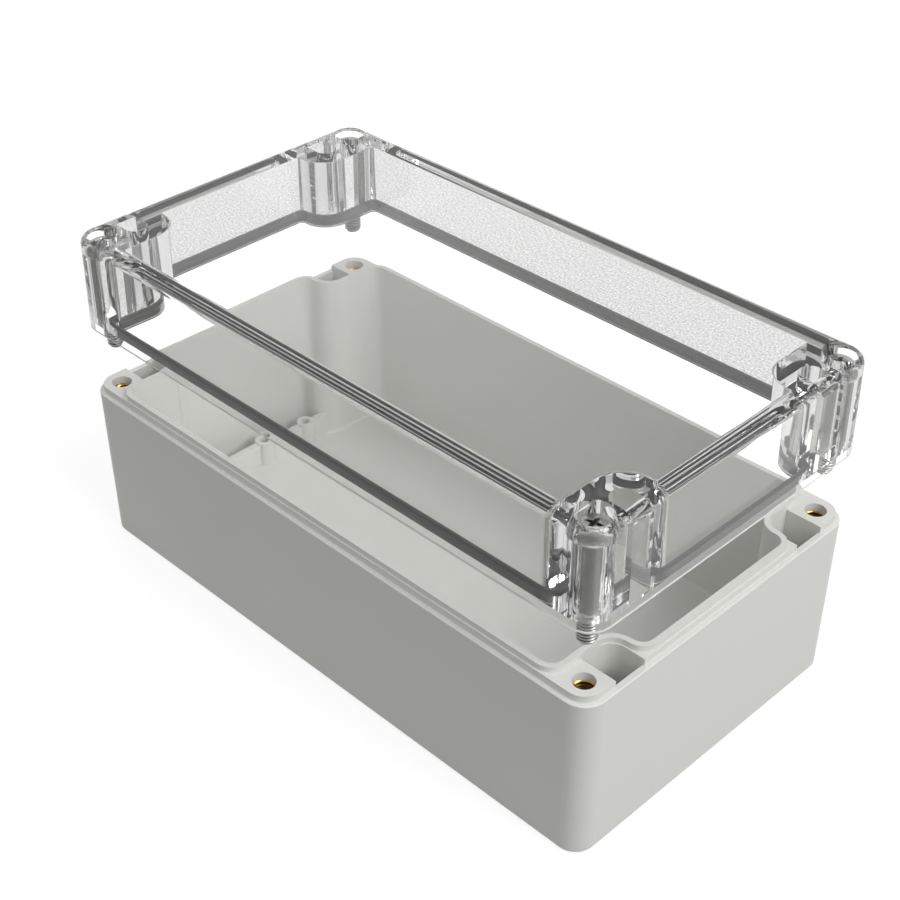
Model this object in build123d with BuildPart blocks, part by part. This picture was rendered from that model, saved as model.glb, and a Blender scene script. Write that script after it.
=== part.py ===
from build123d import *
import os

# Electronics enclosure with a clear lid, a gasket, captive corner screws and brass inserts.
# Millimetres, +Z up. The origin is the middle of the underside.
# The long axis is X, and the lid is shown lifted off its seat.

# Outside of the closed box
length = 220.0
width = 120.0
rim_height = 57.2
lid_height = 32.8
corner_radius = 7.5
lid_lift = 25.4

# Moulding draft, in degrees
base_draft = 0.75
inner_draft = 1.0
lid_draft = 0.85
lid_inner_draft = 1.5
core_draft = 0.8

# Base shell
floor = 3.6
bottom_edge_radius = 1.2
lip_radius = 0.4
inner_edge_radius = 1.0

# Rim of the base: the ledge that carries the lid, the screw plateau and the sealing tongue
ledge_width = 1.5
plateau_step = 2.3
tongue_step = 1.9
tongue_inset = 2.1
tongue_thickness = 1.8

# Corner blocks, measured from the outer faces to the tongue
block_length = 13.8
block_width = 25.8
block_lead_radius = 6.0
block_nose_radius = 5.6
block_tail_radius = 5.6
smallest_seam_radius = 0.3

# Lid screws and their seats, set in from both outer faces at each corner
screw_inset = 7.5
thread_diameter = 6.0
thread_length = 10.5
shank_diameter = 5.2
screw_clearance = 0.35
head_diameter = 9.0
head_height = 3.4
head_edge_radius = 0.6
screw_proud = 10.9
tip_chamfer = 0.7
counterbore_diameter = 10.6
counterbore_depth = 6.4
recess_depth = 2.0
recess_width = 1.3
recess_span = 5.4

# Brass inserts in the base
insert_diameter = 8.6
insert_length = 10.0
insert_sink = 2.8
running_fit = 0.05
insert_hole_depth = 16.0

# Gasket
gasket_height = 3.0
gasket_bite = 1.2
fit_gap = 0.1

# Pockets in the base for the wall screws
mount_inset_x = 8.0
mount_inset_y = 19.0
mount_hole_diameter = 5.5
pocket_outer_wall = 2.1
pocket_inset_y = 13.4
pocket_end_wall = 0.5

# Hollows in the lid's corner blocks, closed at the top, above the pockets
core_outer_wall = 2.7
core_length = 9.8
core_width = 8.3
core_inset_y = 19.65
core_roof = 0.2

# Circuit board bosses on two low ribs
boss_inset = 13.7
boss_pitch = 25.0
boss_count = 3
boss_diameter = 6.4
boss_hole_diameter = 3.3
boss_hole_depth = 8.0
boss_height = 9.4
rib_thickness = 2.4
rib_drop = 0.6
rib_overhang = 9.0
rib_foot = 5.0

# Lid shell
lid_plate = 5.0
lid_edge_radius = 3.2
lid_wall = 6.75
ceiling_edge_radius = 0.7

# Values that follow
plateau_height = rim_height + plateau_step
tongue_height = plateau_height + tongue_step
lid_rim = rim_height + lid_lift
lid_top = lid_rim + lid_height
lid_ceiling = lid_top - lid_plate
block_underside = lid_rim + plateau_step + fit_gap
screw_seat = lid_top - counterbore_depth
screw_tip = block_underside - screw_proud
hole_diameter = thread_diameter + 2 * screw_clearance
skirt_inset = ledge_width - running_fit
gasket_inset = ledge_width
gasket_width = tongue_thickness + 2 * (tongue_inset - gasket_inset)
gasket_bottom = lid_rim + plateau_step + tongue_step - gasket_bite
gasket_top = gasket_bottom + gasket_height
insert_top = plateau_height - insert_sink
corners = {
    "front_left": (-1, -1),
    "front_right": (1, -1),
    "back_right": (1, 1),
    "back_left": (-1, 1),
}

os.makedirs("parts", exist_ok=True)


def save(piece, label):
    piece.part.label = label
    export_step(piece.part, f"parts/{label}.step")


def seam(inset):
    """Face bounded by the seam line, which runs inside the corner blocks, at a distance from the outer faces."""
    shift = inset - tongue_inset
    x_side = length / 2 - inset
    y_side = width / 2 - inset
    x_block = length / 2 - block_length - shift
    y_block = width / 2 - block_width - shift
    lead = max(block_lead_radius - shift, smallest_seam_radius)
    nose = block_nose_radius + shift
    tail = max(block_tail_radius - shift, smallest_seam_radius)
    quarter = [(x_side, y_block, tail), (x_block, y_block, nose), (x_block, y_side, lead)]
    points = []
    for sx, sy in ((1, 1), (-1, 1), (-1, -1), (1, -1)):
        turn = quarter if sx * sy > 0 else quarter[::-1]
        points += [(sx * x, sy * y, r) for x, y, r in turn]
    with BuildSketch(mode=Mode.PRIVATE) as outline:
        with BuildLine():
            FilletPolyline(*[(x, y) for x, y, r in points], radius=[r for x, y, r in points], close=True)
        make_face()
    return outline.sketch


def at_corners(inset_x, inset_y, z):
    """The four points set in from the outer faces, at one height."""
    return [(sx * (length / 2 - inset_x), sy * (width / 2 - inset_y), z) for sx, sy in corners.values()]


def hollow(sx, sy, x_outer, x_inner, y_outer, y_inner, radius):
    """Face of a pocket in one corner, with its inner end rounded on the side of the box's middle."""
    with BuildSketch(mode=Mode.PRIVATE) as outline:
        with Locations((sx * (x_outer + x_inner) / 2, sy * (y_outer + y_inner) / 2)):
            Rectangle(x_outer - x_inner, y_outer - y_inner)
        inner_end = vertices().sort_by(Axis.X)[:2] if sx > 0 else vertices().sort_by(Axis.X)[-2:]
        fillet(inner_end.sort_by(Axis.Y)[0 if sy > 0 else -1], radius)
    return outline.sketch


# Base: outer shell, plateau and tongue, with the cavity, pockets and holes cut out
with BuildPart() as base:
    with BuildSketch(Plane.XY.offset(rim_height)):
        RectangleRounded(length, width, corner_radius)
    extrude(amount=rim_height, dir=(0, 0, -1), taper=base_draft)
    fillet(base.faces().sort_by(Axis.Z)[0].edges(), bottom_edge_radius)
    fillet(base.faces().sort_by(Axis.Z)[-1].edges(), lip_radius)
    with BuildSketch(Plane.XY.offset(rim_height)):
        RectangleRounded(length - 2 * ledge_width, width - 2 * ledge_width, corner_radius - ledge_width)
    extrude(amount=plateau_step)
    with BuildSketch(Plane.XY.offset(plateau_height)):
        add(seam(tongue_inset))
    extrude(amount=tongue_step)

    # Cavity inside the tongue, narrowing to the floor
    with BuildSketch(Plane.XY.offset(tongue_height)):
        add(seam(tongue_inset + tongue_thickness))
    extrude(amount=tongue_height - floor, dir=(0, 0, -1), taper=inner_draft, mode=Mode.SUBTRACT)
    fillet(base.faces().filter_by(Axis.Z).sort_by(Axis.Z)[1].edges(), inner_edge_radius)

    # Pockets for the wall screws, open to the ledge on their outer side
    pocket_x_inner = length / 2 - block_length
    pocket_x_outer = length / 2 - pocket_outer_wall
    pocket_y_inner = width / 2 - block_width + pocket_end_wall
    pocket_y_outer = width / 2 - pocket_inset_y
    for sx, sy in corners.values():
        with BuildSketch(Plane.XY.offset(floor)):
            add(hollow(sx, sy, pocket_x_outer, pocket_x_inner, pocket_y_outer, pocket_y_inner, block_nose_radius))
        extrude(amount=tongue_height, mode=Mode.SUBTRACT)
        with BuildSketch(Plane.XY.offset(rim_height)):
            with Locations((sx * length / 2, sy * (pocket_y_inner + pocket_y_outer) / 2)):
                Rectangle(2 * pocket_outer_wall, pocket_y_outer - pocket_y_inner)
        extrude(amount=plateau_step + tongue_step, mode=Mode.SUBTRACT)
    with Locations(*at_corners(mount_inset_x, mount_inset_y, floor)):
        Hole(mount_hole_diameter / 2)

    # Screw holes, wider where the brass inserts sit
    with Locations(*at_corners(screw_inset, screw_inset, plateau_height)):
        Hole(hole_diameter / 2, depth=insert_hole_depth)
    with Locations(*at_corners(screw_inset, screw_inset, insert_top)):
        Cylinder(insert_diameter / 2, insert_length, align=(Align.CENTER, Align.CENTER, Align.MAX), mode=Mode.SUBTRACT)

    # Two ribs with bosses for the circuit board, sloping down past the end bosses
    boss_top = floor + boss_height
    rib_top = boss_top - rib_drop
    boss_x = length / 2 - boss_inset
    rib_end = boss_pitch * (boss_count - 1) / 2 + rib_overhang
    for side in (-1, 1):
        with BuildSketch(Plane.YZ.offset(side * boss_x)):
            with BuildLine():
                Polyline(
                    (-rib_end - rib_foot, floor),
                    (rib_end + rib_foot, floor),
                    (rib_end, rib_top),
                    (-rib_end, rib_top),
                    close=True,
                )
            make_face()
        extrude(amount=rib_thickness / 2, both=True)
        with BuildSketch(Plane.XY.offset(floor)):
            with Locations((side * boss_x, 0)):
                with GridLocations(0, boss_pitch, 1, boss_count):
                    Circle(boss_diameter / 2)
        extrude(amount=boss_height)
        with Locations((side * boss_x, 0, boss_top)):
            with GridLocations(0, boss_pitch, 1, boss_count):
                Hole(boss_hole_diameter / 2, depth=boss_hole_depth)
save(base, "base")

# Lid: a clear cover with corner blocks, a groove for the gasket and counterbored screw holes
with BuildPart() as lid:
    with BuildSketch(Plane.XY.offset(lid_rim)):
        RectangleRounded(length, width, corner_radius)
    extrude(amount=lid_height, taper=lid_draft)
    fillet(lid.faces().sort_by(Axis.Z)[-1].edges(), lid_edge_radius)

    # Cavity, widening towards the rim, with a small radius round its ceiling
    with BuildSketch(Plane.XY.offset(lid_ceiling)):
        add(seam(lid_wall))
    extrude(amount=lid_ceiling - lid_rim, dir=(0, 0, -1), taper=-lid_inner_draft, mode=Mode.SUBTRACT)
    fillet(lid.faces().filter_by(Axis.Z).sort_by(Axis.Z)[1].edges(), ceiling_edge_radius)

    # Skirt round the plateau, and the groove over the tongue
    with BuildSketch(Plane.XY.offset(lid_rim)):
        RectangleRounded(length - 2 * skirt_inset, width - 2 * skirt_inset, corner_radius - skirt_inset)
    extrude(amount=block_underside - lid_rim, mode=Mode.SUBTRACT)
    with BuildSketch(Plane.XY.offset(block_underside)):
        add(seam(skirt_inset))
        add(seam(gasket_inset + gasket_width + running_fit), mode=Mode.SUBTRACT)
    extrude(amount=gasket_top - block_underside, mode=Mode.SUBTRACT)

    with Locations(*at_corners(screw_inset, screw_inset, lid_top)):
        CounterBoreHole(hole_diameter / 2, counterbore_diameter / 2, counterbore_depth)

    # Hollows beside the screws, with a flat outer side and a round inner end
    core_x_outer = length / 2 - core_outer_wall
    core_y = width / 2 - core_inset_y
    for sx, sy in corners.values():
        with BuildSketch(Plane.XY.offset(block_underside)):
            with Locations((sx * (core_x_outer - core_width / 2 - (core_length - core_width) / 2), sy * core_y)):
                SlotOverall(core_length, core_width)
            with Locations((sx * (core_x_outer - core_width / 4), sy * core_y)):
                Rectangle(core_width / 2, core_width)
        extrude(amount=lid_ceiling - core_roof - block_underside, taper=core_draft, mode=Mode.SUBTRACT)
save(lid, "lid")

# Gasket in the groove, with a shallow channel where the tongue bites
with BuildPart() as gasket:
    with BuildSketch(Plane.XY.offset(gasket_bottom)):
        add(seam(gasket_inset))
        add(seam(gasket_inset + gasket_width), mode=Mode.SUBTRACT)
    extrude(amount=gasket_height)
    with BuildSketch(Plane.XY.offset(gasket_bottom)):
        add(seam(tongue_inset - fit_gap))
        add(seam(tongue_inset + tongue_thickness + fit_gap), mode=Mode.SUBTRACT)
    extrude(amount=gasket_bite + fit_gap, mode=Mode.SUBTRACT)
save(gasket, "gasket")

for name, (sx, sy) in corners.items():
    x = sx * (length / 2 - screw_inset)
    y = sy * (width / 2 - screw_inset)

    # Captive screw: cheese head with a cross recess, waisted shank and a short thread
    with BuildPart(Plane((x, y, screw_seat))) as screw:
        Cylinder(head_diameter / 2, head_height, align=(Align.CENTER, Align.CENTER, Align.MIN))
        fillet(screw.faces().sort_by(Axis.Z)[-1].edges(), head_edge_radius)
        Cylinder(shank_diameter / 2, screw_seat - screw_tip, align=(Align.CENTER, Align.CENTER, Align.MAX))
        with Locations((0, 0, screw_tip - screw_seat)):
            Cylinder(thread_diameter / 2, thread_length, align=(Align.CENTER, Align.CENTER, Align.MIN))
        chamfer(screw.faces().sort_by(Axis.Z)[0].edges(), tip_chamfer)
        with BuildSketch(Plane((x, y, screw_seat + head_height))):
            Rectangle(recess_span, recess_width)
            Rectangle(recess_width, recess_span)
        extrude(amount=-recess_depth, mode=Mode.SUBTRACT)
    save(screw, f"lid_screw_{name}")

    # Brass insert in the base, with its threaded bore drawn plain
    with BuildPart(Plane((x, y, insert_top))) as insert:
        Cylinder(insert_diameter / 2, insert_length, align=(Align.CENTER, Align.CENTER, Align.MAX))
        Hole(thread_diameter / 2 + running_fit)
    save(insert, f"brass_insert_{name}")
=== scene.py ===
import bpy
import numpy as np
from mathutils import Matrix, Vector


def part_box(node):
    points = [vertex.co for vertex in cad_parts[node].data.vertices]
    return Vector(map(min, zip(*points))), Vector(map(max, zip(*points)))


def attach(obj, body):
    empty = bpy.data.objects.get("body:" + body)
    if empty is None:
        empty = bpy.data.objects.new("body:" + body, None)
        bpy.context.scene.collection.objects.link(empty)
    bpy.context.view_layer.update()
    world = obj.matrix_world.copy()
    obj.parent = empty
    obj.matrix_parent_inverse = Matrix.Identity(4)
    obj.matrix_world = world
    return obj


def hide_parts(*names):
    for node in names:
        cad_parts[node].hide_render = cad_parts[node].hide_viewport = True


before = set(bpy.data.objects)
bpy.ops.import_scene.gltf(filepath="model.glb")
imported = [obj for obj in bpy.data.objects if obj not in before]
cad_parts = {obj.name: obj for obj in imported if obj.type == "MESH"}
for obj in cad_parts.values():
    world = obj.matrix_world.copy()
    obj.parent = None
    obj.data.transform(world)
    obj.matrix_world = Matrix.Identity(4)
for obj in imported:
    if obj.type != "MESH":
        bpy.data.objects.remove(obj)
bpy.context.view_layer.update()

mm = 0.001

# The viewing angle: looking down on the corner where the front and right sides meet,
# from far enough back that the long edges close up only a little.
view_from = (0.30726, -0.30723, 0.36380)
view_way = Vector((-1, 1, -1))
camera = bpy.data.objects.new("photo_camera", bpy.data.cameras.new("photo_camera"))
bpy.context.scene.collection.objects.link(camera)
camera.location = view_from
camera.rotation_mode = "QUATERNION"
camera.rotation_quaternion = view_way.to_track_quat("-Z", "Y")
camera.data.lens = 66.94
camera.data.sensor_width = 36.0
bpy.context.scene.camera = camera


# Base: one deep box, injection moulded in warm grey polycarbonate, with the stepped rim,
# the screw blocks and the board bosses all in the same shot of plastic.
base_grey = "dadad6"
base_shade = "d5d5d1"
base_cloud = 18.0 * mm
base_grain = 0.35 * mm
base_grain_height = 0.02 * mm
base_grain_strength = 0.12
base_smoothest, base_roughest = 0.42, 0.5
noise_low, noise_high = 0.3, 0.7
polycarbonate_ior = 1.585


def linear(code):
    """Linear colour of an sRGB hex value: a channel c above 0.04045 becomes
    ((c + 0.055) / 1.055) ^ 2.4, and one below it becomes c / 12.92."""
    c = np.array([int(code[i:i + 2], 16) for i in (0, 2, 4)]) / 255
    return (*np.where(c > 0.04045, ((c + 0.055) / 1.055) ** 2.4, c / 12.92), 1.0)


def add_node(tree, kind, inputs=None, **settings):
    """Adds a node, sets its own settings, and fills its sockets with values or links."""
    new = tree.nodes.new(kind)
    for key, value in settings.items():
        setattr(new, key, value)
    for socket, value in (inputs or {}).items():
        if isinstance(value, bpy.types.NodeSocket):
            tree.links.new(value, new.inputs[socket])
        else:
            new.inputs[socket].default_value = value
    return new


def finish(name):
    """A new material with an empty node tree and its output node."""
    made = bpy.data.materials.new(name)
    made.use_nodes = True
    made.node_tree.nodes.clear()
    return made, made.node_tree, made.node_tree.nodes.new("ShaderNodeOutputMaterial")


# Moulded polycarbonate with a fine spark-eroded grain: it is satin, and its tone drifts by a
# few parts in a hundred where the melt flowed, which keeps the flat sides from looking printed.
base_finish, tree, output = finish("moulded_grey_polycarbonate")
place = add_node(tree, "ShaderNodeTexCoord").outputs["Object"]
cloud = add_node(tree, "ShaderNodeTexNoise", {
    "Vector": place, "Scale": 1 / base_cloud, "Detail": 4.0, "Roughness": 0.55,
}).outputs["Fac"]
grain = add_node(tree, "ShaderNodeTexNoise", {
    "Vector": place, "Scale": 1 / base_grain, "Detail": 2.0,
}).outputs["Fac"]
tone = add_node(tree, "ShaderNodeMix", {
    0: cloud, "A": linear(base_shade), "B": linear(base_grey),
}, data_type="RGBA")
gloss = add_node(tree, "ShaderNodeMapRange", {
    "Value": cloud, "From Min": noise_low, "From Max": noise_high,
    "To Min": base_smoothest, "To Max": base_roughest,
})
relief = add_node(tree, "ShaderNodeBump", {
    "Height": grain, "Strength": base_grain_strength, "Distance": base_grain_height,
})
plastic = add_node(tree, "ShaderNodeBsdfPrincipled", {
    "Base Color": tone.outputs["Result"],
    "Roughness": gloss.outputs["Result"],
    "Normal": relief.outputs["Normal"],
    "IOR": polycarbonate_ior,
})
tree.links.new(plastic.outputs["BSDF"], output.inputs["Surface"])


def dress(node_name, material):
    """Gives a CAD node's material slots the finish."""
    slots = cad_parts[node_name].data.materials
    slots.clear()
    slots.append(material)


dress("base", base_finish)


# Brass inserts: four turned bushes with an M6 thread, pressed into the corner blocks of the
# base under the screw holes. Only the bright top of each bush and its dark bore are seen.
insert_radius = 4.3
insert_height = 10.0
insert_edge = 0.25
insert_columns = 72
bore_radius = 3.07
bore_mouth_radius = 3.75
bore_mouth_depth = 0.9
bore_groove_depth = 0.42
bore_rings = 110
thread_pitch = 1.0
brass_dark, brass_light = "d49a3e", "f2bf62"
brass_patch = 1.5 * mm
# Dark brown for the thread faces: painted shade in the bore.
bore_shade_brown = "5a4424"
corner_names = ["front_left", "front_right", "back_right", "back_left"]


def ring_faces(rows, columns, closed_rows=False):
    """Quads of a grid whose columns wrap round, as rows of vertex numbers. The rows wrap too if asked."""
    row = np.arange(rows if closed_rows else rows - 1)[:, None]
    column = np.arange(columns)[None, :]
    here = row * columns + column
    right = row * columns + (column + 1) % columns
    up = (row + 1) % rows * columns + column
    up_right = (row + 1) % rows * columns + (column + 1) % columns
    return np.stack([here, right, up_right, up], -1).reshape(-1, 4)


def piece(name, points, faces, material, body, node_name, caps=()):
    """Makes a mesh from points in millimetres, quads and end caps, and puts it on its body
    in the place of a CAD node."""
    faces = [tuple(face) for face in faces.tolist()] + [tuple(cap) for cap in caps]
    mesh = bpy.data.meshes.new(name)
    mesh.from_pydata((points * mm).tolist(), [], faces)
    mesh.polygons.foreach_set("use_smooth", np.ones(len(faces), bool))
    mesh.materials.append(material)
    mesh.update()
    made = bpy.data.objects.new(name, mesh)
    bpy.context.scene.collection.objects.link(made)
    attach(made, body)
    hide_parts(node_name)
    return made


def rings(values, columns):
    """A grid with one row for each value, the value repeated round its ring."""
    return np.repeat(np.asarray(values, float)[:, None], columns, axis=1)


def turned(radius, height, axis_x, axis_y):
    """A turned surface from grids of radius and height, one row for each ring: at angle a
    a point is the axis + radius (cos a, sin a), at its height."""
    a = np.arange(radius.shape[1]) * 2 * np.pi / radius.shape[1]
    return np.stack([axis_x + radius * np.cos(a), axis_y + radius * np.sin(a), height], -1).reshape(-1, 3)


def thread_wave(angle, height):
    """Depth share of a right-hand thread, 0 on the crest and 1 in the root: a triangle wave of
    height / pitch - angle / turn, times 1.15 and less 0.08, so that crest and root are flat."""
    phase = (height / thread_pitch - angle / (2 * np.pi)) % 1.0
    return np.clip(1.15 * np.abs(2 * phase - 1) - 0.08, 0, 1)


# Machined brass: yellow and bright on the turned faces, and a little tarnished from one
# patch to the next.
brass, tree, output = finish("machined_brass")
place = add_node(tree, "ShaderNodeTexCoord").outputs["Object"]
patch = add_node(tree, "ShaderNodeTexNoise", {"Vector": place, "Scale": 1 / brass_patch, "Detail": 3.0})
tone = add_node(tree, "ShaderNodeMix", {
    0: patch.outputs["Fac"], "A": linear(brass_dark), "B": linear(brass_light),
}, data_type="RGBA")
metal = add_node(tree, "ShaderNodeBsdfPrincipled", {
    "Base Color": tone.outputs["Result"], "Metallic": 1.0, "Roughness": 0.24,
})
tree.links.new(metal.outputs["BSDF"], output.inputs["Surface"])

# The same brass made dark brown in the cut thread: painted shade, so that the bore looks dark.
bore_shade_brass, tree, output = finish("painted_shade_brass_thread")
metal = add_node(tree, "ShaderNodeBsdfPrincipled", {
    "Base Color": linear(bore_shade_brown), "Metallic": 1.0, "Roughness": 0.35,
})
tree.links.new(metal.outputs["BSDF"], output.inputs["Surface"])

angle = np.arange(insert_columns) * 2 * np.pi / insert_columns
depth = np.linspace(bore_mouth_depth, insert_height - bore_mouth_depth, bore_rings)
bore = bore_radius + bore_groove_depth * thread_wave(angle[None, :], depth[:, None])
outside = [insert_radius - insert_edge, insert_radius, insert_radius, insert_radius - insert_edge]
outside_drop = [insert_height, insert_height - insert_edge, insert_edge, 0]
mouth = rings([bore_mouth_radius], insert_columns)
radius = np.vstack([mouth, bore, mouth, rings(outside, insert_columns)])
drop = np.concatenate([[0], depth, [insert_height], outside_drop])
faces = ring_faces(len(drop), insert_columns, closed_rows=True)
ring_number = (faces // insert_columns).min(axis=1)
in_thread = (ring_number >= 1) & (ring_number <= bore_rings)
for name in corner_names:
    low, high = (np.array(corner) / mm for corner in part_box(f"brass_insert_{name}"))
    axis_x, axis_y = (low[:2] + high[:2]) / 2
    points = turned(radius, rings(high[2] - drop, insert_columns), axis_x, axis_y)
    bush = piece(
        f"threaded_insert_{name}", points, faces, brass,
        "base_body", f"brass_insert_{name}",
    )
    # The thread faces take the dark brown brass, painted shade in the bore.
    bush.data.materials.append(bore_shade_brass)
    bush.data.polygons.foreach_set("material_index", in_thread.astype(int))


# Gasket: one endless black foam rubber seal in the lid's groove. It follows the seam inside
# the corner blocks, and the base's tongue has pressed a shallow channel into its underside.
length, width = 220.0, 120.0
tongue_inset = 2.1
block_length, block_width = 13.8, 25.8
lead_radius, nose_radius, tail_radius = 6.0, 5.6, 5.6
turn_points = 17
gasket_width = 3.0
gasket_channel_width = 2.0
gasket_channel_depth = 1.55
gasket_round = 0.3
gasket_bond = 0.08
gasket_sag = 0.5
rubber_black, rubber_grey = "272726", "343433"
foam_cell = 0.45 * mm
foam_cell_depth = 0.08 * mm


def seam_line(inset, steps):
    """The seam line as points and outward normals: twelve quarter turns joined by straight runs.
    For a from 0 to 90 degrees a turn's point is its centre - r cos(a) times the way out
    + r sin(a) times the way in."""
    shift = inset - tongue_inset
    x_side, y_side = length / 2 - inset, width / 2 - inset
    x_block, y_block = length / 2 - block_length - shift, width / 2 - block_width - shift
    quarter = [
        (x_side, y_block, tail_radius - shift),
        (x_block, y_block, nose_radius + shift),
        (x_block, y_side, lead_radius - shift),
    ]
    turns = np.array([
        (sx * x, sy * y, r)
        for sx, sy in ((1, 1), (-1, 1), (-1, -1), (1, -1))
        for x, y, r in (quarter if sx * sy > 0 else quarter[::-1])
    ])
    point, radius = turns[:, :2], turns[:, 2:]
    way_out = np.roll(point, -1, 0) - point
    way_out /= np.linalg.norm(way_out, axis=1, keepdims=True)
    way_in = np.roll(way_out, 1, 0)
    centre = point - way_in * radius + way_out * radius
    a = np.linspace(0, np.pi / 2, steps)[None, :, None]
    line = centre[:, None] + radius[:, None] * (way_in[:, None] * np.sin(a) - way_out[:, None] * np.cos(a))
    tangent = way_in[:, None] * np.cos(a) + way_out[:, None] * np.sin(a)
    normal = np.stack([tangent[..., 1], -tangent[..., 0]], -1)
    return line.reshape(-1, 2), normal.reshape(-1, 2)


def rounded(corners, radius, steps):
    """A closed profile with its corners cut: for t from 0 to 1 a point is the corner
    + (1 - t)^2 times the way back + t^2 times the way on, each way as long as the radius."""
    corner = np.array(corners, float)
    back = np.roll(corner, 1, 0) - corner
    on = np.roll(corner, -1, 0) - corner
    back *= radius / np.linalg.norm(back, axis=1, keepdims=True)
    on *= radius / np.linalg.norm(on, axis=1, keepdims=True)
    t = np.linspace(0, 1, steps)[None, :, None]
    curve = corner[:, None] + back[:, None] * (1 - t) ** 2 + on[:, None] * t ** 2
    return curve.reshape(-1, 2)


# Foamed rubber: nearly black, dull, with fine closed cells that break up its faint shine.
rubber, tree, output = finish("black_foam_rubber")
place = add_node(tree, "ShaderNodeTexCoord").outputs["Object"]
cells = add_node(tree, "ShaderNodeTexVoronoi", {"Vector": place, "Scale": 1 / foam_cell}).outputs["Distance"]
tone = add_node(tree, "ShaderNodeMix", {
    0: cells, "A": linear(rubber_black), "B": linear(rubber_grey),
}, data_type="RGBA")
relief = add_node(tree, "ShaderNodeBump", {"Height": cells, "Strength": 0.3, "Distance": foam_cell_depth})
foam = add_node(tree, "ShaderNodeBsdfPrincipled", {
    "Base Color": tone.outputs["Result"], "Roughness": 0.6, "Normal": relief.outputs["Normal"],
})
tree.links.new(foam.outputs["BSDF"], output.inputs["Surface"])

low, high = (np.array(corner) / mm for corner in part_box("gasket"))
half = gasket_width / 2 + gasket_bond
channel = gasket_channel_width / 2
top = high[2] + gasket_bond
bottom = low[2] - gasket_sag
roof = low[2] + gasket_channel_depth
underside = [
    (-half, bottom), (-channel, bottom), (-channel, roof), (channel, roof), (channel, bottom), (half, bottom),
]
profile = np.vstack([rounded(underside, gasket_round, 5)[2:-2], [(half, top), (-half, top)]])
line, normal = seam_line(length / 2 - high[0] + gasket_width / 2, turn_points)
ground = line[:, None] + normal[:, None] * profile[None, :, :1]
height = np.broadcast_to(profile[None, :, 1:], (len(line), len(profile), 1))
points = np.concatenate([ground, height], -1).reshape(-1, 3)
faces = ring_faces(len(line), len(profile), closed_rows=True)
piece("foam_gasket", points, faces, rubber, "lid_body", "gasket")


# Lid: one clear cover, injection moulded in uncoloured polycarbonate and polished, with cored
# corner blocks, counterbored screw holes and the groove that holds the gasket. Its plate is
# 5 mm thick and its walls nearly 7 mm, and the walls let more light down than the plate.
clear_tint = "f2f2f2"
rim_highlight_grey = "d2d2d2"
rim_edge = 82.62 * mm
plate_shadow = "e6e6e6"
wall_shadow = "f8f8f8"
plate_reach = (100.0 * mm, 50.0 * mm, 0.0)

# Polished clear polycarbonate: colourless, very glossy, and bending light more than window
# glass does, so its thick corners gather bright and dark lines. Its bottom edge is a matt light
# grey band below the rim height: a painted highlight that draws a fine light outline. It throws only a faint
# shadow.
clear, tree, output = finish("polished_clear_polycarbonate")
clear_body = add_node(tree, "ShaderNodeBsdfPrincipled", {
    "Base Color": linear(clear_tint), "Roughness": 0.0, "IOR": polycarbonate_ior, "Transmission Weight": 1.0,
})
# A matt light grey band under the rim height: painted highlight along the lid's bottom edge.
painted_highlight_edge = add_node(tree, "ShaderNodeBsdfDiffuse", {"Color": linear(rim_highlight_grey)})
place = add_node(tree, "ShaderNodeTexCoord").outputs["Object"]
height = add_node(tree, "ShaderNodeSeparateXYZ", {0: place}).outputs["Z"]
at_rim = add_node(tree, "ShaderNodeMath", {0: height, 1: rim_edge}, operation="LESS_THAN")
body = add_node(tree, "ShaderNodeMixShader", {
    0: at_rim.outputs[0], 1: clear_body.outputs[0], 2: painted_highlight_edge.outputs[0],
})
side = add_node(tree, "ShaderNodeVectorMath", {0: place}, operation="ABSOLUTE")
side = add_node(tree, "ShaderNodeVectorMath", {0: plate_reach, 1: side.outputs[0]}, operation="SUBTRACT")
side = add_node(tree, "ShaderNodeSeparateXYZ", {0: side.outputs[0]}).outputs
inside = add_node(tree, "ShaderNodeMath", {0: side["X"], 1: side["Y"]}, operation="MINIMUM")
inside = add_node(tree, "ShaderNodeMath", {0: inside.outputs[0], 1: 0.0}, operation="GREATER_THAN")
shadow = add_node(tree, "ShaderNodeMix", {
    0: inside.outputs[0], "A": linear(wall_shadow), "B": linear(plate_shadow),
}, data_type="RGBA")
see_through = add_node(tree, "ShaderNodeBsdfTransparent", {"Color": shadow.outputs["Result"]})
path = add_node(tree, "ShaderNodeLightPath").outputs
surface = add_node(tree, "ShaderNodeMixShader", {
    0: path["Is Shadow Ray"], 1: body.outputs[0], 2: see_through.outputs[0],
})
tree.links.new(surface.outputs[0], output.inputs["Surface"])
dress("lid", clear)


# Captive screws: M6 steel screws with a cross recess, cold headed, their threads rolled only
# at the tip. The waist above the thread is thinner, so each one hangs in its hole in the lid.
# They were left at different angles when they were screwed out.
head_radius = 4.5
head_height = 3.4
head_round = 0.7
head_crown = 0.25
head_rings = 54
round_rings = 6
waist_radius = 2.6
waist_length = 0.5
seat_chamfer = 0.1
thread_radius = 2.98
thread_depth = 0.61
thread_length = 10.4
thread_start = 0.8
thread_rings = 180
tip_length = 1.1
tip_chamfer = 0.9
pole_radius = 0.02
set_back = 0.02
seat_gap = 0.01
screw_columns = 144
recess_wing = 0.62
recess_reach = 2.65
recess_depth = 2.1
recess_bevel = 0.16
screw_turn = {"front_left": 20.0, "front_right": 80.0, "back_right": 65.0, "back_left": 5.0}
steel_dark, steel_light = "b8b8b5", "c4c4c0"
steel_blotch = 0.8 * mm
# Dark grey for the cross recess and the thread roots, and where it reaches: painted shade.
recess_shade_grey = "6a6a68"
shade_below_face, shade_above_floor = 0.4, 3.0
shade_in_recess = 0.1
shade_in_root = 0.28
shade_from_start = 0.6

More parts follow.
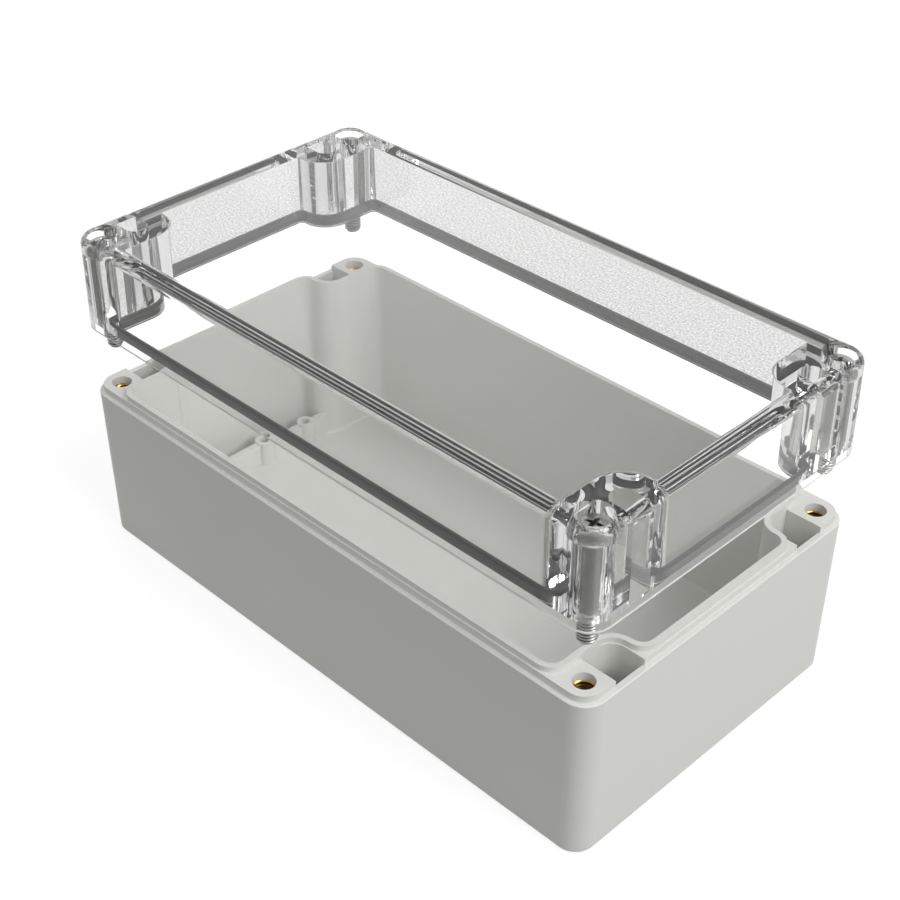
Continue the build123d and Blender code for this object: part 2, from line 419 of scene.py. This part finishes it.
# Bright zinc plated steel: a cool, fairly sharp shine, with small blotches left by the plating.
steel, tree, output = finish("bright_plated_steel")
place = add_node(tree, "ShaderNodeTexCoord").outputs["Object"]
blotch = add_node(tree, "ShaderNodeTexNoise", {"Vector": place, "Scale": 1 / steel_blotch, "Detail": 3.0})
tone = add_node(tree, "ShaderNodeMix", {
    0: blotch.outputs["Fac"], "A": linear(steel_dark), "B": linear(steel_light),
}, data_type="RGBA")
metal = add_node(tree, "ShaderNodeBsdfPrincipled", {
    "Base Color": tone.outputs["Result"], "Metallic": 1.0, "Roughness": 0.27,
})
tree.links.new(metal.outputs["BSDF"], output.inputs["Surface"])

# The same steel made dull and dark grey in the pressed cross and between the threads: painted shade in the
# recess and the thread roots.
shaded_steel, tree, output = finish("painted_shade_steel")
metal = add_node(tree, "ShaderNodeBsdfPrincipled", {
    "Base Color": linear(recess_shade_grey), "Metallic": 1.0, "Roughness": 0.4,
})
tree.links.new(metal.outputs["BSDF"], output.inputs["Surface"])


def cross_recess(x, y):
    """Depth of a cross recess. With a the larger and b the smaller of |x| and |y|, it is the full
    depth times (1 - a / reach) ^ 0.45, times (wing (1.15 - 0.25 a / reach) - b) / bevel held
    between 0 and 1."""
    along = np.maximum(np.abs(x), np.abs(y))
    aside = np.minimum(np.abs(x), np.abs(y))
    wing = np.clip((recess_wing * (1.15 - 0.25 * along / recess_reach) - aside) / recess_bevel, 0, 1)
    floor = np.clip((recess_reach - along) / recess_reach, 0, 1) ** 0.45
    return recess_depth * floor * wing


angle = np.arange(screw_columns) * 2 * np.pi / screw_columns
bend = np.linspace(0, np.pi / 2, round_rings + 1)[1:]
for name in corner_names:
    low, high = (np.array(corner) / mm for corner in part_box(f"lid_screw_{name}"))
    axis_x, axis_y = (low[:2] + high[:2]) / 2
    turn = np.radians(screw_turn[name])
    crown = high[2] - set_back
    seat = high[2] - head_height
    tip = low[2] + set_back

    face = rings(np.linspace(pole_radius, head_radius - head_round, head_rings), screw_columns)
    face_z = crown - head_crown * (face / head_radius) ** 2
    face_z = face_z - cross_recess(face * np.cos(angle + turn), face * np.sin(angle + turn))
    edge_z = crown - head_crown * ((head_radius - head_round) / head_radius) ** 2 - head_round
    edge = head_radius - head_round + head_round * np.sin(bend)
    neck = [head_radius, head_radius - seat_chamfer, waist_radius, waist_radius]
    neck_z = [seat + seat_chamfer, seat + seat_gap, seat + seat_gap, seat - waist_length]
    thread_z = np.linspace(tip + thread_length, tip, thread_rings)
    along = (thread_z - tip)[:, None]
    full = np.clip(1 - (along - thread_length + thread_start) / thread_start, 0, 1)
    crest = np.minimum(
        waist_radius + (thread_radius - waist_radius) * full,
        thread_radius - tip_chamfer * np.clip(1 - along / tip_length, 0, 1),
    )
    thread = crest - thread_depth * full * thread_wave(angle[None, :], thread_z[:, None])

    plain = rings([*edge, *neck], screw_columns)
    plain_z = rings([*(edge_z + head_round * np.cos(bend)), *neck_z, *thread_z, tip], screw_columns)
    radius = np.vstack([face, plain, thread, rings([pole_radius], screw_columns)])[::-1]
    height = np.vstack([face_z, plain_z])[::-1]
    points = turned(radius, height, axis_x, axis_y)
    last = len(points) - screw_columns
    caps = [range(screw_columns - 1, -1, -1), range(last, last + screw_columns)]
    faces = ring_faces(len(radius), screw_columns)
    screw = piece(
        f"captive_screw_{name}", points, faces, steel,
        f"screw_{name}_body", f"lid_screw_{name}", caps,
    )

    # Faces deep in the cross and in the thread roots get the dark grey steel: painted shade.
    x, y, z = (points[faces].mean(axis=1) - (axis_x, axis_y, high[2])).T
    pressed = cross_recess(x * np.cos(turn) - y * np.sin(turn), x * np.sin(turn) + y * np.cos(turn))
    painted_shade_faces = (pressed > shade_in_recess) & (z > -shade_above_floor) & (z < -shade_below_face)
    in_root = np.hypot(x, y) < thread_radius - shade_in_root
    painted_shade_faces |= in_root & (z + high[2] < tip + thread_length - shade_from_start)
    screw.data.materials.append(shaded_steel)
    screw.data.polygons.foreach_set("material_index", np.concatenate([painted_shade_faces, [False, True]]).astype(int))


# The studio: a white sweep under the object, a large soft lamp high on its right,
# and even white surroundings.
floor_reach = 5.0
paper_grey = "6c6c6c"
seen_paper_grey = "898989"
white = "ffffff"
paper_glow = 0.8
glass_lift = 0.36
near_start, near_end = -0.06, -0.17
near_drop = 0.55
folded_drop = 0.62
far_wall_faces = 3.5
mottle_size = 1.0 * mm
mottle_most, mottle_least = 0.72, -0.02
lamp_way = Vector((0.765, 0.03, 0.643)).normalized()
lamp_aim = Vector((0, 0, 0.05))
lamp_distance = 1.6
lamp_size = 0.9
lamp_watts = 14.4

sweep = bpy.data.meshes.new("studio_floor")
corners = [(x * floor_reach, y * floor_reach, 0) for x, y in ((-1, -1), (1, -1), (1, 1), (-1, 1))]
sweep.from_pydata(corners, [], [(0, 1, 2, 3)])
floor = bpy.data.objects.new("studio_floor", sweep)
bpy.context.scene.collection.objects.link(floor)


def rays(tree):
    """How a ray came, each 0 or 1: from the camera, off gloss, through glass, and through glass
    after a mirroring in it. All are 0 once the ray has left a matt surface."""
    path = add_node(tree, "ShaderNodeLightPath").outputs
    clean = add_node(tree, "ShaderNodeMath", {
        0: 1.0, 1: path["Diffuse Depth"],
    }, operation="SUBTRACT", use_clamp=True).outputs[0]
    folded = add_node(tree, "ShaderNodeMath", {
        0: path["Glossy Depth"], 1: path["Is Transmission Ray"],
    }, operation="MULTIPLY", use_clamp=True).outputs[0]
    ways = (path["Is Camera Ray"], path["Is Glossy Ray"], path["Is Transmission Ray"], folded)
    return [
        add_node(tree, "ShaderNodeMath", {0: way, 1: clean}, operation="MULTIPLY").outputs[0]
        for way in ways
    ]


# White paper: matt surfaces are lit by plain grey paper, and the camera, gloss and glass see it
# nearly white, with the object's faint shadow on it. It is lifted behind the lid by what the
# clear plastic takes away. Seen by gloss only it is greyer in front of the object, a painted darker
# reflection in the front side; it is greyer where the lid's edges fold its light, and finely mottled behind
# two of the lid's walls.
paper, tree, output = finish("white_paper")
camera_ray, glossy_ray, glass_ray, folded_ray = rays(tree)
place = add_node(tree, "ShaderNodeTexCoord").outputs["Object"]
where = add_node(tree, "ShaderNodeSeparateXYZ", {0: place}).outputs
# Gloss-only grey patch in front of the object: painted darker reflection in the front side.
near = add_node(tree, "ShaderNodeMapRange", {
    "Value": where["Y"], "From Min": near_start, "From Max": near_end, "To Min": 0.0, "To Max": 1.0,
}, interpolation_type="SMOOTHSTEP").outputs["Result"]
drop = add_node(tree, "ShaderNodeMath", {0: glossy_ray, 1: near_drop}, operation="MULTIPLY").outputs[0]
drop = add_node(tree, "ShaderNodeMath", {0: drop, 1: near}, operation="MULTIPLY").outputs[0]
drop = add_node(tree, "ShaderNodeMath", {
    0: folded_ray, 1: folded_drop, 2: drop,
}, operation="MULTIPLY_ADD").outputs[0]
crossed = add_node(tree, "ShaderNodeLightPath").outputs["Transmission Depth"]
far = add_node(tree, "ShaderNodeMath", {0: crossed, 1: far_wall_faces}, operation="GREATER_THAN").outputs[0]
mottle = add_node(tree, "ShaderNodeTexNoise", {
    "Vector": place, "Scale": 1 / mottle_size, "Detail": 1.0,
}).outputs["Fac"]
mottle = add_node(tree, "ShaderNodeMapRange", {
    "Value": mottle, "From Min": noise_low, "From Max": noise_high,
    "To Min": mottle_most, "To Max": mottle_least,
}).outputs["Result"]
far = add_node(tree, "ShaderNodeMath", {0: far, 1: mottle}, operation="MULTIPLY").outputs[0]
far = add_node(tree, "ShaderNodeMath", {0: far, 1: glass_ray}, operation="MULTIPLY").outputs[0]
glow = add_node(tree, "ShaderNodeMath", {
    0: glass_ray, 1: glass_lift, 2: paper_glow,
}, operation="MULTIPLY_ADD").outputs[0]
glow = add_node(tree, "ShaderNodeMath", {0: glow, 1: drop}, operation="SUBTRACT").outputs[0]
glow = add_node(tree, "ShaderNodeMath", {0: glow, 1: far}, operation="SUBTRACT").outputs[0]
glow = add_node(tree, "ShaderNodeMath", {0: glow, 1: 0.0}, operation="MAXIMUM").outputs[0]
sharp = add_node(tree, "ShaderNodeMath", {0: camera_ray, 1: glossy_ray}, operation="MAXIMUM").outputs[0]
sharp = add_node(tree, "ShaderNodeMath", {0: sharp, 1: glass_ray}, operation="MAXIMUM").outputs[0]
lit = add_node(tree, "ShaderNodeBsdfDiffuse", {"Color": linear(paper_grey)})
seen = add_node(tree, "ShaderNodeBsdfDiffuse", {"Color": linear(seen_paper_grey)})
light = add_node(tree, "ShaderNodeEmission", {"Color": linear(white), "Strength": glow})
seen = add_node(tree, "ShaderNodeAddShader", {0: seen.outputs[0], 1: light.outputs[0]})
mix = add_node(tree, "ShaderNodeMixShader", {0: sharp, 1: lit.outputs[0], 2: seen.outputs[0]})
tree.links.new(mix.outputs[0], output.inputs["Surface"])
sweep.materials.append(paper)

# The surroundings: an even fill for matt surfaces, brighter from above, and plain white for the
# camera. Glass and gloss see white at the level of the object and a dimmer ceiling over it,
# which darkens the lines in the lid. Each row is a kind of ray, the heights between which the
# ceiling starts and ends, as parts of 1, and the strength below and above them.
surroundings = [
    ("glass", 0.4, 0.7, 1.4, 0.15),
    ("folded", 0.1, 0.6, 0.9, 0.3),
    ("glossy", 0.35, 0.65, 1.0, 0.5),
]
fill_level, fill_top = 0.32, 0.98

world = bpy.data.worlds.new("white_surroundings")
bpy.context.scene.world = world
world.use_nodes = True
tree = world.node_tree
tree.nodes.clear()
camera_ray, glossy_ray, glass_ray, folded_ray = rays(tree)
kinds = {"glass": glass_ray, "folded": folded_ray, "glossy": glossy_ray}
way = add_node(tree, "ShaderNodeTexCoord").outputs["Generated"]
height = add_node(tree, "ShaderNodeSeparateXYZ", {0: way}).outputs["Z"]
fill = add_node(tree, "ShaderNodeMapRange", {
    "Value": height, "From Min": 0.0, "From Max": 1.0, "To Min": fill_level, "To Max": fill_top,
})
fill = add_node(tree, "ShaderNodeBackground", {"Color": linear(white), "Strength": fill.outputs["Result"]})
plain_white = add_node(tree, "ShaderNodeBackground", {"Color": linear(white), "Strength": 1.0})
mix = add_node(tree, "ShaderNodeMixShader", {0: camera_ray, 1: fill.outputs[0], 2: plain_white.outputs[0]})
for kind, start, end, below, above in surroundings:
    strength = add_node(tree, "ShaderNodeMapRange", {
        "Value": height, "From Min": start, "From Max": end, "To Min": below, "To Max": above,
    }, interpolation_type="SMOOTHSTEP")
    shine = add_node(tree, "ShaderNodeBackground", {
        "Color": linear(white), "Strength": strength.outputs["Result"],
    })
    mix = add_node(tree, "ShaderNodeMixShader", {0: kinds[kind], 1: mix.outputs[0], 2: shine.outputs[0]})
add_node(tree, "ShaderNodeOutputWorld", {"Surface": mix.outputs[0]})

lamp = bpy.data.objects.new("soft_lamp", bpy.data.lights.new("soft_lamp", "AREA"))
lamp.data.shape = "DISK"
lamp.data.size = lamp_size
lamp.data.energy = lamp_watts
bpy.context.scene.collection.objects.link(lamp)
lamp.location = lamp_aim + lamp_way * lamp_distance
lamp.rotation_mode = "QUATERNION"
lamp.rotation_quaternion = (-lamp_way).to_track_quat("-Z", "Y")

bpy.context.scene.view_settings.view_transform = "Standard"

# Light crosses many faces of the clear lid on its way, so it is followed further than usual.
bpy.context.scene.cycles.max_bounces = 40
bpy.context.scene.cycles.glossy_bounces = 32
bpy.context.scene.cycles.transmission_bounces = 32
